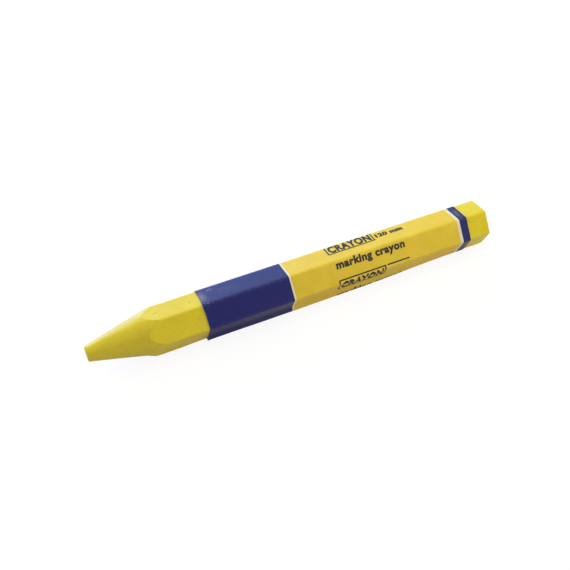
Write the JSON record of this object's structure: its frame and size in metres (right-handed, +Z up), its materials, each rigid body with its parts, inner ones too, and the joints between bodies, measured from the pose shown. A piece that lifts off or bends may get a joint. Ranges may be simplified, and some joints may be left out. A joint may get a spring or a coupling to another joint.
{
  "type": "wax marking crayon",
  "caption": "Hexagonal wax marking crayon with a blunt sharpened cone at one end and a glued printed paper wrapper, lying on one flat.",
  "frame": {"origin": "on the surface the crayon lies on, under the middle of its length and width", "axes": "+X along the stick from the writing tip to the butt end, +Z up, square to the flat it lies on"},
  "size_m": [0.12, 0.0132, 0.0119],
  "materials": {
    "wax": "matte",
    "printed_paper": "satin",
    "paper_glue": "satin"
  },
  "bodies": {
    "root": {"wax_stick": "wax", "paper_wrapper": "printed_paper", "lap_glue": "paper_glue"}
  },
  "joints": []
}
